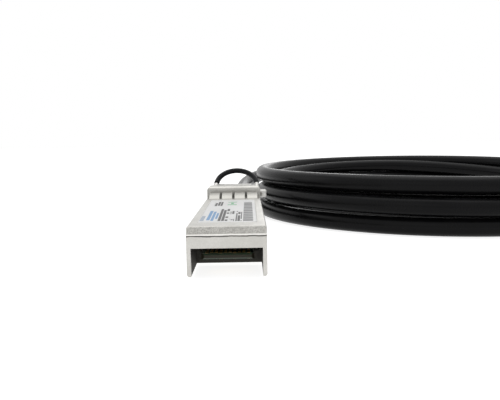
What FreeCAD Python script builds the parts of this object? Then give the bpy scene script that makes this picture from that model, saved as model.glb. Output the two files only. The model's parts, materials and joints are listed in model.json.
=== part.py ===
import FreeCAD, Part
import math
import os
import re

import Sketcher

# Direct attach copper cable: two identical pluggable ends joined by one coiled twinaxial cable.
# Millimetres. Each end is drawn in its own frame: +Y runs from the nose towards the cable, +Z is up,
# X = 0 is the middle plane, Y = 0 the nose face and Z = 0 the underside of the housing. Placements
# then lift both ends onto their latch bosses and move the middle of the near plug, from its nose to
# the tip of its strain relief, over the origin.

SIZES = [
    # the plug's outer form, to the small-form-factor pluggable standard
    ("body_width", 13.4, "housing, across"),
    ("body_height", 8.5, "housing, underside to top"),
    ("body_length", 47.5, "nose to the stop face of the head"),
    ("head_length", 9.5, "the part that stays outside the port"),
    ("head_top", 11.1, "top of the head above the underside"),
    ("parting_height", 6.9, "joint between base and cover"),
    ("edge_round", 0.45, "rounding of the long outer edges"),
    ("head_round", 1.0, "rounding of the head's upper edges"),
    # nose
    ("skirt_wall", 0.7, "side walls beside the mouth"),
    ("mouth_depth", 10.4, "length of the mouth that is open below"),
    ("bar_bottom", 4.8, "underside of the bar across the nose"),
    ("bar_depth", 0.9, "bar across the nose, front to back"),
    ("lip_height", 0.25, "raised lip along the foot of the cover's front"),
    ("lip_depth", 0.15, "how far that lip stands proud"),
    # inside of the housing
    ("side_wall", 1.2, "side walls behind the mouth"),
    ("floor_wall", 1.2, "floor below the card"),
    ("rear_floor", 2.8, "floor height behind the card"),
    ("ledge_half", 4.3, "half the gap between the card's ledges"),
    ("hollow_end", 45.5, "end of the hollow, ahead of the cable saddle"),
    ("post_depth", 2.0, "hold-down posts of the cover, along Y"),
    ("post_front", 12.2, "first pair of posts"),
    ("post_rear", 24.2, "second pair of posts"),
    ("slack", 0.1, "clearance between pieces that drop into each other"),
    # paddle card
    ("card_setback", 3.2, "card edge behind the nose face"),
    ("card_length", 25.0, "card"),
    ("card_tongue", 9.2, "width of the card at its contacts"),
    ("card_height", 2.25, "card underside above the housing's underside"),
    ("card_thick", 1.0, "card"),
    ("card_corner", 0.5, "bevel at the corners of the card's tongue"),
    ("pad_pitch", 0.8, "contacts, centre to centre"),
    ("pad_width", 0.55, "contacts"),
    ("pad_length", 3.4, "signal contacts"),
    ("pad_extra", 0.5, "how much further ground contacts reach forward"),
    ("pad_thick", 0.04, "contacts"),
    ("pad_inset", 0.9, "signal contacts behind the card's edge"),
    ("chip_y", 18.5, "memory chip, centre"),
    ("chip_side", 3.0, "memory chip body"),
    ("chip_thick", 0.9, "memory chip body"),
    ("chip_lead", 0.9, "how far the chip's legs stand out"),
    ("capacitor_y", 13.6, "row of capacitors"),
    ("capacitor_length", 1.0, "capacitor"),
    ("capacitor_width", 0.5, "capacitor"),
    # label
    ("label_width", 10.2, "label"),
    ("label_front", 4.5, "front edge of the label behind the nose face"),
    ("label_length", 35.2, "label"),
    ("label_thick", 0.12, "label and the recess it lies in"),
    # cable, ferrule and strain relief
    ("cable_radius", 2.25, "cable jacket"),
    ("cable_axis", 4.9, "cable centre above the housing's underside"),
    ("ferrule_start", 46.4, "front of the crimp ferrule"),
    ("ferrule_length", 7.4, "crimp ferrule"),
    ("ferrule_wall", 0.45, "crimp ferrule"),
    ("flange_start", 54.1, "strain relief's flange, inside the head"),
    ("flange_length", 1.3, "strain relief's flange"),
    ("flange_radius", 3.2, "strain relief's flange"),
    ("boot_radius", 2.85, "strain relief where it leaves the head"),
    ("boot_tip_radius", 2.6, "strain relief at its tip"),
    ("boot_length", 12.0, "strain relief outside the head"),
    ("boot_groove", 0.25, "depth of the flex grooves round it"),
    ("wire_radius", 0.45, "insulated wires inside the plug"),
    # spring collar
    ("collar_start", 41.6, "front of the collar's band"),
    ("collar_band", 1.6, "width of the band"),
    ("collar_sheet", 0.2, "sheet"),
    ("collar_groove", 0.25, "groove in the housing that the collar lies in"),
    ("collar_gap", 6.8, "opening of the band below, for the latch"),
    ("finger_width", 2.5, "fingers on top"),
    ("finger_pitch", 3.1, "fingers on top, centre to centre"),
    ("finger_rise", 1.2, "how far the top fingers spring out"),
    ("finger_rise_low", 0.3, "how far the side and bottom fingers spring out"),
    # latch lever
    ("boss_height", 0.45, "latch boss below the underside"),
    ("boss_start", 42.4, "front of the latch boss"),
    ("boss_length", 2.6, "latch boss"),
    ("boss_width", 2.6, "latch boss"),
    ("channel_width", 6.3, "channel for the latch in the underside"),
    ("channel_start", 33.0, "front end of that channel"),
    ("channel_height", 2.2, "roof of that channel"),
    ("lever_pivot_y", 35.0, "lever pin"),
    ("lever_pivot_z", 1.0, "lever pin"),
    ("lever_pin_radius", 0.4, "lever pin"),
    ("lever_pin_bite", 1.0, "how far the pin sits in each wall"),
    ("lever_width", 2.8, "lever"),
    ("lever_bottom", 0.35, "underside of the lever"),
    ("lever_top", 1.25, "top of the lever"),
    ("barrel_radius", 0.85, "lever's eye round its pin"),
    ("turn_gap", 0.05, "running clearance round pins"),
    ("wing_start", 45.6, "lever's wings, which the slide lifts"),
    ("wing_length", 1.6, "lever's wings"),
    ("wing_bottom", 0.7, "underside of the wings"),
    ("leaf_start", 37.5, "leaf spring above the lever"),
    ("leaf_length", 8.0, "leaf spring"),
    ("leaf_width", 2.0, "leaf spring"),
    ("leaf_thick", 0.15, "leaf spring"),
    # pull slide
    ("slide_gap", 0.1, "slide above the underside"),
    ("slide_sheet", 0.5, "slide"),
    ("prong_inner", 1.6, "half the gap of the fork"),
    ("prong_outer", 3.0, "half the width of the fork"),
    ("prong_front", 43.0, "tips of the fork"),
    ("ramp_flat", 0.6, "level top of the ramps"),
    ("ramp_foot", 45.5, "foot of the ramps"),
    ("ramp_rise", 0.66, "height of the ramps"),
    ("slide_neck", 49.0, "end of the fork's slot"),
    ("slide_wide", 51.6, "where the slide widens to its arms"),
    ("arm_outer", 5.15, "outside of the slide's arms, from the middle"),
    ("arm_front", 52.6, "slide's arms"),
    ("arm_length", 4.0, "slide's arms"),
    ("arm_recess", 52.4, "front of the recesses in the head"),
    ("slide_travel", 2.0, "how far the slide pulls back"),
    # pull ring
    ("ring_pivot_y", 54.6, "ring pins"),
    ("ring_pivot_z", 8.6, "ring pins"),
    ("ring_pin_radius", 0.5, "ring pins, shank"),
    ("ring_knob_radius", 1.0, "ring pins, head"),
    ("ring_knob_out", 8.6, "end of the pin heads, from the middle"),
    ("ring_half", 5.95, "half the ring's width, centre line"),
    ("ring_leg", 3.1, "straight legs of the ring"),
    ("ring_wire_radius", 0.45, "ring wire"),
    ("ring_eye_radius", 1.5, "eyes at the ring's ends"),
    ("ring_eye_thick", 1.3, "eyes at the ring's ends"),
    ("ring_barrel_radius", 0.75, "end barrels of the ring"),
    ("ring_barrel_end", 4.4, "end barrels, from the pivot"),
    ("sleeve_radius", 0.7, "sleeve on the ring's bow"),
    ("sleeve_start", 15.0, "sleeve's ends, degrees round the bow"),
    ("ring_lean", 40.0, "ring above the horizontal at rest, degrees"),
    # screws between base and cover
    ("screw_x", 4.7, "screws, from the middle"),
    ("screw_y", 49.6, "screws behind the nose face"),
    ("screw_radius", 0.8, "screw shank"),
    ("screw_head_radius", 1.4, "countersunk head"),
    ("screw_depth", 3.0, "thread in the cover"),
    # the coil and the two ends' distance
    ("end_spacing", 123.0, "between the two ends' middle planes"),
    ("coil_y", 84.5, "coil's centre behind the nose faces"),
    ("coil_outer", 52.0, "coil, outer radius"),
    ("coil_inner", 41.0, "coil, inner radius"),
    ("coil_height", 13.5, "coil"),
    ("coil_round", 4.0, "rounding of the coil's outline"),
]
VALUE = {alias: number for alias, number, _ in SIZES}
WORD = re.compile(r"\b(?!cos\b|sin\b)[a-z]\w*")
PAST = 1.0  # how far a cut runs past the face it opens
NEAR_ZERO = 1e-6

# Control points of the two cable ends from the ferrule to the coil, in the plug's own X and Y and
# above the surface that everything lies on. The second list starts at the far plug.
NEAR_ROUTE = [(0, 84, None), (2, 120, 8.4), (20, 136, 11.0), (44, 140, 11.8), (66, 134.5, 11.2)]
FAR_ROUTE = [(0, 84, None), (-2, 120, 3.4), (-20, 136, 2.4), (-44, 140, 2.3), (-66, 134.5, 2.4)]

doc = FreeCAD.newDocument("DirectAttachCable")


def V(x=0.0, y=0.0, z=0.0):
    return FreeCAD.Vector(x, y, z)


def write_sheet():
    sheet = doc.addObject("Spreadsheet::Sheet", "Sizes")
    for row, (alias, number, note) in enumerate(SIZES, 1):
        sheet.set(f"A{row}", alias)
        sheet.set(f"B{row}", str(number))
        sheet.setAlias(f"B{row}", alias)
        sheet.set(f"C{row}", note)
    doc.recompute()


def bound(formula):
    """The formula with every named value read from the sheet."""
    return WORD.sub(lambda found: "Sizes." + found.group(0), formula)


def size(formula):
    """The formula's number, in millimetres."""
    return FreeCAD.Units.Quantity(WORD.sub(lambda found: f"({VALUE[found.group(0)]})", formula)).Value


# ---- sketches and features -------------------------------------------------------------------


def origin_plane(body, role):
    return next(item for item in body.Origin.OriginFeatures if item.Role == role)


def new_sketch(body, plane, start):
    """A sketch parallel to one of the body's planes, at `start` along that plane's global axis."""
    sketch = body.newObject("Sketcher::SketchObject", "Sketch")
    sketch.AttachmentSupport = [(origin_plane(body, plane), "")]
    sketch.MapMode = "FlatFace"
    along = f"-({start})" if plane == "XZ_Plane" else start
    sketch.setExpression("AttachmentOffset.Base.z", bound(along))
    return sketch


def fix_point(sketch, line, corner):
    for kind, formula in zip(("DistanceX", "DistanceY"), corner, strict=True):
        rule = sketch.addConstraint(Sketcher.Constraint(kind, -1, 1, line, 1, size(formula)))
        sketch.setExpression(f"Constraints[{rule}]", bound(formula))


def draw_outline(sketch, corners):
    """A closed outline of straight lines, each corner dimensioned from the origin."""
    spots = [V(size(x), size(y)) for x, y in corners]
    lines = [
        sketch.addGeometry(Part.LineSegment(spot, spots[(k + 1) % len(spots)]), False)
        for k, spot in enumerate(spots)
    ]
    for k, line in enumerate(lines):
        sketch.addConstraint(Sketcher.Constraint("Coincident", line, 2, lines[(k + 1) % len(lines)], 1))
    for line, corner in zip(lines, corners, strict=True):
        fix_point(sketch, line, corner)


def draw_circle(sketch, x, y, radius):
    circle = sketch.addGeometry(Part.Circle(V(size(x), size(y)), V(0, 0, 1), size(radius)), False)
    for kind, formula in (("DistanceX", x), ("DistanceY", y)):
        rule = sketch.addConstraint(Sketcher.Constraint(kind, -1, 1, circle, 3, size(formula)))
        sketch.setExpression(f"Constraints[{rule}]", bound(formula))
    rule = sketch.addConstraint(Sketcher.Constraint("Radius", circle, size(radius)))
    sketch.setExpression(f"Constraints[{rule}]", bound(radius))


def draw(sketch, outlines):
    for outline in outlines:
        if isinstance(outline, tuple):
            draw_circle(sketch, *outline)
        else:
            draw_outline(sketch, outline)


def rect(left, low, right, high):
    return [(left, low), (right, low), (right, high), (left, high)]


def wide(half, low, high):
    """A rectangle centred on the middle plane."""
    return rect(f"-({half})", low, half, high)


def both(outline):
    """The outline and its mirror image across the middle plane."""
    return [outline, [(f"-({x})", y) for x, y in reversed(outline)]]


def pad(body, plane, start, end, *outlines):
    sketch = new_sketch(body, plane, start)
    draw(sketch, outlines)
    feature = body.newObject("PartDesign::Pad", "Pad")
    feature.Profile = sketch
    feature.setExpression("Length", bound(f"({end}) - ({start})"))
    feature.Reversed = plane == "XZ_Plane"
    return feature


def pocket(body, plane, start, end, *outlines):
    sketch = new_sketch(body, plane, start)
    draw(sketch, outlines)
    feature = body.newObject("PartDesign::Pocket", "Pocket")
    feature.Profile = sketch
    feature.setExpression("Length", bound(f"({end}) - ({start})"))
    feature.Reversed = plane != "XZ_Plane"
    return feature


def turned(body, outline):
    """A piece turned about the cable's axis: the outline holds (along Y, radius) points."""
    sketch = new_sketch(body, "YZ_Plane", "0")
    sketch.setExpression("AttachmentOffset.Base.y", bound("cable_axis"))
    draw(sketch, [outline])
    feature = body.newObject("PartDesign::Revolution", "Revolution")
    feature.Profile = sketch
    feature.ReferenceAxis = (sketch, ["H_Axis"])
    feature.Angle = 360.0
    return feature


def edges_where(shape, **spot):
    """Names of the edges that lie wholly at the given coordinates."""
    names = []
    for number, edge in enumerate(shape.Edges, 1):
        box = edge.BoundBox
        spans = {"x": (box.XMin, box.XMax), "y": (box.YMin, box.YMax), "z": (box.ZMin, box.ZMax)}
        if all(abs(value - at) < 1e-3 for key, at in spot.items() for value in spans[key]):
            names.append(f"Edge{number}")
    return names


def dress(body, kind, amount, spots):
    """A fillet or chamfer on the edges that lie at each of the spots."""
    doc.recompute()
    base = body.Tip
    names = sorted({name for spot in spots for name in edges_where(base.Shape, **spot)})
    if not names:
        raise RuntimeError(f"{body.Label}: no edge to dress")
    feature = body.newObject(f"PartDesign::{kind}", kind)
    feature.Base = (base, names)
    feature.setExpression("Radius" if kind == "Fillet" else "Size", bound(amount))
    return feature


# ---- nodes -----------------------------------------------------------------------------------

NODES = []
MIDDLE_Y = "(body_length + head_length + boot_length) / 2"
END_X = {"near": "0", "far": "end_spacing"}


def place(item, end, height="boss_height"):
    """Moves a piece from its plug's frame to the cable's frame."""
    item.setExpression("Placement.Base.x", bound(END_X[end]))
    item.setExpression("Placement.Base.y", bound(f"-{MIDDLE_Y}"))
    item.setExpression("Placement.Base.z", bound(height))
    NODES.append(item)


def new_body(end, name):
    body = doc.addObject("PartDesign::Body", f"{end}_{name}")
    body.Label = f"{end}_{name}"
    return body


def add_shape(end, name, shape, height="boss_height"):
    """A node whose shape is worked out with Part, from the sheet's values."""
    item = doc.addObject("Part::Feature", f"{end}_{name}")
    item.Label = f"{end}_{name}"
    item.Shape = shape
    place(item, end, height)
    return item


# ---- housing ---------------------------------------------------------------------------------

HALF = "body_width / 2"
TOTAL = "body_length + head_length"
CARD_END = "card_setback + card_length"
SADDLE = "cable_radius + ferrule_wall + slack / 2"
ARM_INNER = "arm_outer - slide_sheet"


def cable_seats(body, top):
    """The saddle for the ferrule, the groove for the flange and the way out, open at `top`."""
    stretches = [
        ("hollow_end", "flange_start - slack", SADDLE),
        ("flange_start - slack", "flange_start + flange_length + slack", "flange_radius + slack"),
        ("flange_start + flange_length + slack", TOTAL, "boot_radius + slack"),
    ]
    for start, end, radius in stretches:
        pocket(body, "XZ_Plane", start, end, ("0", "cable_axis", radius))
        if top:
            pocket(body, "XZ_Plane", start, end, wide(radius, "cable_axis", top))


def base_shell(end):
    body = new_body(end, "base_shell")
    past = str(PAST)
    pad(body, "XZ_Plane", "0", TOTAL, wide(HALF, "0", "parting_height"))
    dress(body, "Fillet", "edge_round", [{"x": s * size(HALF), "z": 0} for s in (-1, 1)])
    above = f"parting_height + {past}"
    skirt = f"{HALF} - skirt_wall"
    inner = f"{HALF} - side_wall"
    pocket(body, "XZ_Plane", "0", "mouth_depth", wide(skirt, f"-{past}", "bar_bottom"))
    pocket(body, "XZ_Plane", "bar_depth", "mouth_depth", wide(skirt, "bar_bottom", above))
    card_room = f"{CARD_END} + skirt_wall"
    pocket(body, "XZ_Plane", "mouth_depth", card_room, wide(inner, "card_height", above))
    pocket(body, "XZ_Plane", "mouth_depth", CARD_END, wide("ledge_half", "floor_wall", "card_height"))
    pocket(body, "XZ_Plane", card_room, "hollow_end", wide(inner, "rear_floor", above))
    cable_seats(body, above)
    # channel of the latch lever, and the recess that the slide travels in
    channel = wide("channel_width / 2", "channel_start", "body_length")
    pocket(body, "XY_Plane", "0", "channel_height", channel)
    plate_room = "slide_gap + slide_sheet + slack"
    narrow = wide("channel_width / 2", "body_length", f"{TOTAL} + {past}")
    pocket(body, "XY_Plane", "0", plate_room, narrow)
    broad = wide("arm_outer + slack", "slide_wide - 2 * slack", f"{TOTAL} + {past}")
    pocket(body, "XY_Plane", "0", plate_room, broad)
    arm_room = rect(f"{ARM_INNER} - slack", "arm_recess", f"{HALF} + {past}", f"{TOTAL} + {past}")
    pocket(body, "XY_Plane", f"-{past}", above, *both(arm_room))
    # groove for the spring collar
    groove = f"{HALF} - collar_groove"
    outside = f"{HALF} + {past}"
    around = [
        (f"-({outside})", f"-{past}"),
        (outside, f"-{past}"),
        (outside, above),
        (groove, above),
        (groove, "collar_groove"),
        (f"-({groove})", "collar_groove"),
        (f"-({groove})", above),
        (f"-({outside})", above),
    ]
    pocket(body, "XZ_Plane", "collar_start - slack", "body_length", around)
    # lever pin and screw holes
    pin_reach = "channel_width / 2 + lever_pin_bite"
    pin = ("lever_pivot_y", "lever_pivot_z", "lever_pin_radius")
    pocket(body, "YZ_Plane", f"-({pin_reach})", pin_reach, pin)
    for side in ("", "-"):
        hole = (f"{side}screw_x", "screw_y", "screw_radius + turn_gap")
        pocket(body, "XY_Plane", "0", above, hole)
    sink(body)
    place(body, end)
    return body


def sink(body):
    """Countersinks at the foot of the screw holes."""
    doc.recompute()
    base = body.Tip
    names = []
    for number, edge in enumerate(base.Shape.Edges, 1):
        box = edge.BoundBox
        small = abs(box.XLength - 2 * size("screw_radius + turn_gap")) < 1e-3
        if small and box.ZMax < size("collar_groove") + NEAR_ZERO and abs(box.Center.y - size("screw_y")) < 1e-3:
            names.append(f"Edge{number}")
    feature = body.newObject("PartDesign::Chamfer", "Countersink")
    feature.Base = (base, names)
    feature.setExpression("Size", bound("screw_head_radius - screw_radius"))


def top_cover(end):
    body = new_body(end, "top_cover")
    past = str(PAST)
    front = "lip_depth"
    pad(body, "XZ_Plane", front, "body_length", wide(HALF, "parting_height", "body_height"))
    pad(body, "XZ_Plane", "body_length", TOTAL, wide(HALF, "parting_height", "head_top"))
    half = size(HALF)
    dress(body, "Fillet", "edge_round", [{"x": s * half, "z": size("body_height")} for s in (-1, 1)])
    crown = [{"x": s * half, "z": size("head_top")} for s in (-1, 1)]
    crown += [{"y": size(y), "z": size("head_top")} for y in ("body_length", TOTAL)]
    dress(body, "Fillet", "head_round", crown)
    dress(body, "Chamfer", "lip_depth", [{"y": size(front), "z": size("body_height")}])
    pad(body, "XZ_Plane", "0", front, wide(HALF, "parting_height", "parting_height + lip_height"))
    # tongue behind the nose bar, and posts that hold the card down
    tongue = wide(f"{HALF} - side_wall - slack", "bar_bottom + side_wall", "parting_height")
    pad(body, "XZ_Plane", "bar_depth + slack", "2 * bar_depth + slack", tongue)
    post = rect("ledge_half + 2 * slack", "card_height + card_thick", f"{HALF} - side_wall - slack", "parting_height")
    for start in ("post_front", "post_rear"):
        for side in both(post):
            pad(body, "XZ_Plane", start, f"{start} + post_depth", side)
    recess = wide("label_width / 2 + slack / 2", "label_front - slack / 2", "label_front + label_length + slack / 2")
    pocket(body, "XY_Plane", "body_height - label_thick", f"body_height + {past}", recess)
    cable_seats(body, None)
    arm_room = rect(f"{ARM_INNER} - slack", "arm_recess", f"{HALF} + {past}", f"{TOTAL} + {past}")
    pocket(body, "XY_Plane", f"parting_height - {past}", f"head_top + {past}", *both(arm_room))
    # groove for the spring collar
    groove = f"{HALF} - collar_groove"
    outside = f"{HALF} + {past}"
    below = f"parting_height - {past}"
    around = [
        (f"-({outside})", below),
        (f"-({groove})", below),
        (f"-({groove})", "body_height - collar_groove"),
        (groove, "body_height - collar_groove"),
        (groove, below),
        (outside, below),
        (outside, f"body_height + {past}"),
        (f"-({outside})", f"body_height + {past}"),
    ]
    pocket(body, "XZ_Plane", "collar_start - slack", "body_length", around)
    for side in ("", "-"):
        hole = (f"{side}screw_x", "screw_y", "screw_radius")
        pocket(body, "XY_Plane", "parting_height", "parting_height + screw_depth", hole)
    place(body, end)
    return body


def label(end):
    body = new_body(end, "label")
    sheet = wide("label_width / 2", "label_front", "label_front + label_length")
    pad(body, "XY_Plane", "body_height - label_thick", "body_height", sheet)
    corners = [{"x": s * size("label_width / 2"), "y": size(y)} for s in (-1, 1) for y in ("label_front", "label_front + label_length")]
    dress(body, "Fillet", "edge_round", corners)
    place(body, end)


def cover_screws(end):
    """Two countersunk screws, driven up from the underside."""
    shanks = []
    for side in (-1, 1):
        foot = V(side * size("screw_x"), size("screw_y"), 0)
        cone_height = size("screw_head_radius - screw_radius")
        cone = Part.makeCone(size("screw_head_radius"), size("screw_radius"), cone_height, foot, V(0, 0, 1))
        tall = size("parting_height + screw_depth")
        shank = Part.makeCylinder(size("screw_radius"), tall - size("slack"), foot, V(0, 0, 1))
        socket = Part.makeCylinder(size("screw_radius") * 0.6, cone_height, foot, V(0, 0, 1))
        shanks.append(cone.fuse(shank).cut(socket).removeSplitter().Solids[0])
    add_shape(end, "cover_screws", Part.makeCompound(shanks))


# ---- inside the plug -------------------------------------------------------------------------


def paddle_card(end):
    body = new_body(end, "paddle_card")
    tongue = "card_tongue / 2"
    board = f"{HALF} - side_wall - slack"
    shoulder = "mouth_depth + 2 * slack"
    half = [
        ("card_setback", f"{tongue} - card_corner"),
        ("card_setback + card_corner", tongue),
        (shoulder, tongue),
        (shoulder, board),
        (CARD_END, board),
    ]
    outline = [(x, y) for y, x in half] + [(f"-({x})", y) for y, x in reversed(half)]
    pad(body, "XY_Plane", "card_height", "card_height + card_thick", outline)
    front = size("card_setback")
    edges = [{"y": front, "z": size(z)} for z in ("card_height", "card_height + card_thick")]
    dress(body, "Chamfer", "card_corner / 2", edges)
    place(body, end)


def contact_pads(end):
    """Ten contacts on each face of the card; the outer and every third one reach further forward."""
    pads = []
    count = 10
    for k in range(count):
        x = (k - (count - 1) / 2) * size("pad_pitch") - size("pad_width") / 2
        reach = size("pad_extra") if k % 3 == 0 else 0.0
        start = size("card_setback + pad_inset") - reach
        long = size("pad_length") + reach
        for z in (size("card_height - pad_thick"), size("card_height + card_thick")):
            pads.append(Part.makeBox(size("pad_width"), long, size("pad_thick"), V(x, start, z)))
    add_shape(end, "contact_pads", Part.makeCompound(pads))


def memory_chip(end):
    side = size("chip_side")
    thick = size("chip_thick")
    stand = size("slack")
    low = size("card_height + card_thick")
    middle = size("chip_y")
    chip = Part.makeBox(side, side, thick, V(-side / 2, middle - side / 2, low + stand))
    chip = chip.makeChamfer(size("card_corner") / 2, [e for e in chip.Edges if abs(e.BoundBox.ZMin - low - stand - thick) < NEAR_ZERO])
    reach = size("chip_lead")
    foil = 0.2
    leads = []
    for k in range(4):
        y = middle + (k - 1.5) * size("pad_pitch") - foil
        for out in (-1, 1):
            knee = out * (side / 2 + reach / 2)
            toe = out * (side / 2 + reach)
            start = out * (side / 2 - foil)
            points = [(start, low + thick / 2), (knee, low + thick / 2), (knee, low + foil), (toe, low + foil)]
            under = [(x - out * foil, z - foil) for x, z in reversed(points)]
            under[-1] = (start, low + thick / 2 - foil)
            under[0] = (toe, low)
            ring = [V(x, y, z) for x, z in points + under]
            leads.append(Part.Face(Part.makePolygon(ring + ring[:1])).extrude(V(0, 2 * foil, 0)))
    add_shape(end, "memory_chip", chip.fuse(leads).removeSplitter().Solids[0])


def capacitors(end):
    """Six chip capacitors in a row across the card."""
    blocks = []
    long = size("capacitor_length")
    broad = size("capacitor_width")
    low = size("card_height + card_thick")
    for k in range(6):
        x = (k - 2.5) * 2 * size("pad_pitch") - broad / 2
        blocks.append(Part.makeBox(broad, long, broad, V(x, size("capacitor_y") - long / 2, low)))
    add_shape(end, "capacitors", Part.makeCompound(blocks))


# ---- tubes along a route ---------------------------------------------------------------------


def tangent_path(points, share=0.45):
    """Straight runs joined by tangent arcs, and the arcs' radii."""
    edges = []
    radii = []
    last = points[0]
    for before, corner, after in zip(points, points[1:], points[2:]):
        back = (before - corner).normalize()
        ahead = (after - corner).normalize()
        reach = share * min((corner - before).Length, (after - corner).Length)
        half_turn = (math.pi - back.getAngle(ahead)) / 2
        radius = reach / math.tan(half_turn)
        start = corner + back * reach
        finish = corner + ahead * reach
        inward = (back + ahead).normalize()
        middle = corner + inward * (radius / math.cos(half_turn) - radius)
        edges.append(Part.LineSegment(last, start).toShape())
        edges.append(Part.Arc(start, middle, finish).toShape())
        radii.append(radius)
        last = finish
    edges.append(Part.LineSegment(last, points[-1]).toShape())
    return Part.Wire(edges), radii


def tube(points, radius):
    """A round tube along the points, and the radii of its bends."""
    path, radii = tangent_path(points)
    section = Part.Wire([Part.Circle(points[0], points[1] - points[0], radius).toShape()])
    shape = path.makePipeShell([section], True, False)
    swept = math.pi * radius**2 * path.Length
    if abs(shape.Volume - swept) > 0.01 * swept:
        raise RuntimeError("a tube has lost part of its volume")
    return shape, radii


def wire_pairs(end):
    """Four insulated wires from the card to the cable's end."""
    on_card = size("card_height + card_thick + wire_radius")
    pitch = 2 * size("pad_pitch")
    spread = size("wire_radius") + 2 * size("turn_gap")
    axis = size("cable_axis")
    start = size(f"{CARD_END} - post_depth")
    finish = size("ferrule_start")
    wires = []
    for side in (-1, 1):
        for rank, rise in ((0.5, -1), (1.5, 1)):
            x = side * rank * pitch
            inside = V(side * spread, 0, axis + rise * spread)
            points = [
                V(x, start, on_card),
                V(x, start + 5, on_card),
                V(inside.x, finish - 4, inside.z),
                V(inside.x, finish, inside.z),
            ]
            wires.append(tube(points, size("wire_radius"))[0])
    add_shape(end, "wire_pairs", Part.makeCompound(wires))


# ---- ferrule and strain relief ---------------------------------------------------------------


def crimp_ferrule(end):
    """A crimped metal sleeve round the cable's end, with two rolled waists."""
    body = new_body(end, "crimp_ferrule")
    outer = "cable_radius + ferrule_wall"
    waist = "cable_radius + ferrule_wall / 2"
    outline = [("ferrule_start", "cable_radius"), ("ferrule_start + ferrule_length", "cable_radius"), ("ferrule_start + ferrule_length", outer)]
    for k in (2, 1):
        middle = f"ferrule_start + ferrule_length * {k} / 3"
        outline += [(f"{middle} + ferrule_wall * 2", outer), (f"{middle} + ferrule_wall", waist)]
        outline += [(f"{middle} - ferrule_wall", waist), (f"{middle} - ferrule_wall * 2", outer)]
    outline.append(("ferrule_start", outer))
    turned(body, outline)
    place(body, end)


def strain_relief(end):
    """A tapered boot with flex grooves, held by a flange inside the head."""
    body = new_body(end, "strain_relief")
    tip = f"{TOTAL} + boot_length"
    neck_end = f"{TOTAL} + boot_groove"
    outline = [("flange_start", "cable_radius"), (tip, "cable_radius"), (tip, "boot_tip_radius")]
    rings = 4
    for k in range(rings, 0, -1):
        middle = f"{TOTAL} + boot_length * {k} / {rings + 1}"
        outer = f"boot_radius + (boot_tip_radius - boot_radius) * {k} / {rings + 1}"
        outline += [(f"{middle} + 2 * boot_groove", outer), (f"{middle} + boot_groove", f"{outer} - boot_groove")]
        outline += [(f"{middle} - boot_groove", f"{outer} - boot_groove"), (f"{middle} - 2 * boot_groove", outer)]
    outline += [(neck_end, "boot_radius"), ("flange_start + flange_length", "boot_radius")]
    outline += [("flange_start + flange_length", "flange_radius"), ("flange_start", "flange_radius")]
    turned(body, outline)
    place(body, end)


# ---- spring collar ---------------------------------------------------------------------------


def rounded_frame(width, low, high, radius, start, long):
    """A block along Y with its four long edges rounded."""
    block = Part.makeBox(width, long, high - low, V(-width / 2, start, low))
    return block.makeFillet(radius, [edge for edge in block.Edges if edge.BoundBox.YLength > long / 2])


def finger(width, rise, reach, back):
    """A bowed finger that starts flush at Z = 0 and springs out by `rise`, centred on X = 0."""
    sheet = size("collar_sheet")
    radius = (reach**2 + rise**2) / (2 * rise)
    start = size("collar_start + collar_band") - sheet
    centre = V(0, start + reach, rise - radius)

    def on_arc(r, y):
        return V(-width / 2, y, centre.z + math.sqrt(r**2 - (y - centre.y) ** 2))

    stop = size("body_length") - back
    inner = radius - sheet
    crest = start + reach
    outer_arc = Part.Arc(on_arc(radius, start), on_arc(radius, crest), on_arc(radius, stop)).toShape()
    inner_arc = Part.Arc(on_arc(inner, stop), on_arc(inner, crest), on_arc(inner, start)).toShape()
    tip = Part.LineSegment(on_arc(radius, stop), on_arc(inner, stop)).toShape()
    root = Part.LineSegment(on_arc(inner, start), on_arc(radius, start)).toShape()
    return Part.Face(Part.Wire([outer_arc, tip, inner_arc, root])).extrude(V(width, 0, 0))


def spring_collar(end):
    """A sheet band round the housing with bowed fingers that touch the port on all four sides."""
    sheet = size("collar_sheet")
    wide_size = size("body_width")
    tall = size("body_height")
    start = size("collar_start")
    band = size("collar_band")
    outer = rounded_frame(wide_size, 0, tall, size("edge_round"), start, band)
    hole = rounded_frame(wide_size - 2 * sheet, sheet, tall - sheet, size("edge_round") - sheet, start - PAST, band + 2 * PAST)
    gap = size("collar_gap")
    slot = Part.makeBox(gap, band + 2 * PAST, 2 * sheet, V(-gap / 2, start - PAST, -sheet / 2))
    reach = 3.3
    back = size("slack")
    top = finger(size("finger_width"), size("finger_rise"), reach, back)
    low = finger(size("finger_width") * 0.8, size("finger_rise_low"), reach, back)
    fingers = []
    for k in range(4):
        fingers.append(top.translated(V((k - 1.5) * size("finger_pitch"), 0, tall)))
    for side in (-1, 1):
        on_side = low.rotated(V(), V(0, 1, 0), side * 90)
        for z in (tall * 0.33, tall * 0.67):
            fingers.append(on_side.translated(V(side * wide_size / 2, 0, z)))
        under = low.rotated(V(), V(0, 1, 0), 180)
        fingers.append(under.translated(V(side * (gap / 2 + size("finger_width") / 2), 0, 0)))
    shape = outer.cut(hole).cut(slot).fuse(fingers).removeSplitter()
    add_shape(end, "spring_collar", shape.Solids[0])


# ---- latch -----------------------------------------------------------------------------------


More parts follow.
